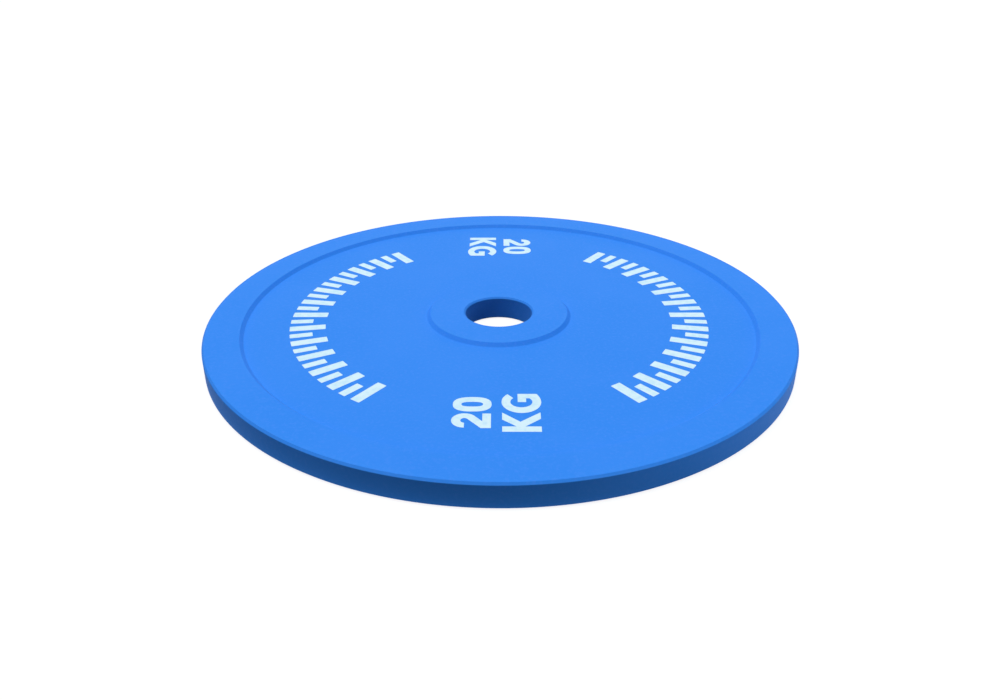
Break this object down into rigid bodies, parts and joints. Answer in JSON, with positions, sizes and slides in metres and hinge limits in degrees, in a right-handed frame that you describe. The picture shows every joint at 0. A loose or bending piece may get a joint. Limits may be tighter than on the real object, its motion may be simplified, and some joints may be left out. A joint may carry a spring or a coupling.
{
  "type": "calibrated powerlifting plate",
  "caption": "Flat round steel weight plate with a raised rim and hub, a central bore for the bar's sleeve, and screw plugs over trim shims in the back.",
  "frame": {"origin": "on the bore's axis, at the level of the back's rim and hub faces, which the plate lies on", "axes": "+Z along the bore's axis, from the back to the marked front; the screw plugs lie on the X axis"},
  "size_m": [0.45, 0.45, 0.0186],
  "materials": {
    "blue_enamel": "satin blue enamel over turned steel",
    "white_ink": "flat white screen print on the enamel",
    "zinc_plate": "zinc-plated turned steel",
    "seal_rubber": "black nitrile rubber",
    "shim_steel": "bare punched steel sheet"
  },
  "bodies": {
    "root": {"plate_body": "blue_enamel", "calibration_plug_1": "zinc_plate", "calibration_plug_2": "zinc_plate", "plug_seal_1": "seal_rubber", "plug_seal_2": "seal_rubber", "calibration_shim_1_1": "shim_steel", "calibration_shim_1_2": "shim_steel", "calibration_shim_1_3": "shim_steel", "calibration_shim_2_1": "shim_steel", "calibration_shim_2_2": "shim_steel", "calibration_shim_2_3": "shim_steel"}
  },
  "joints": []
}
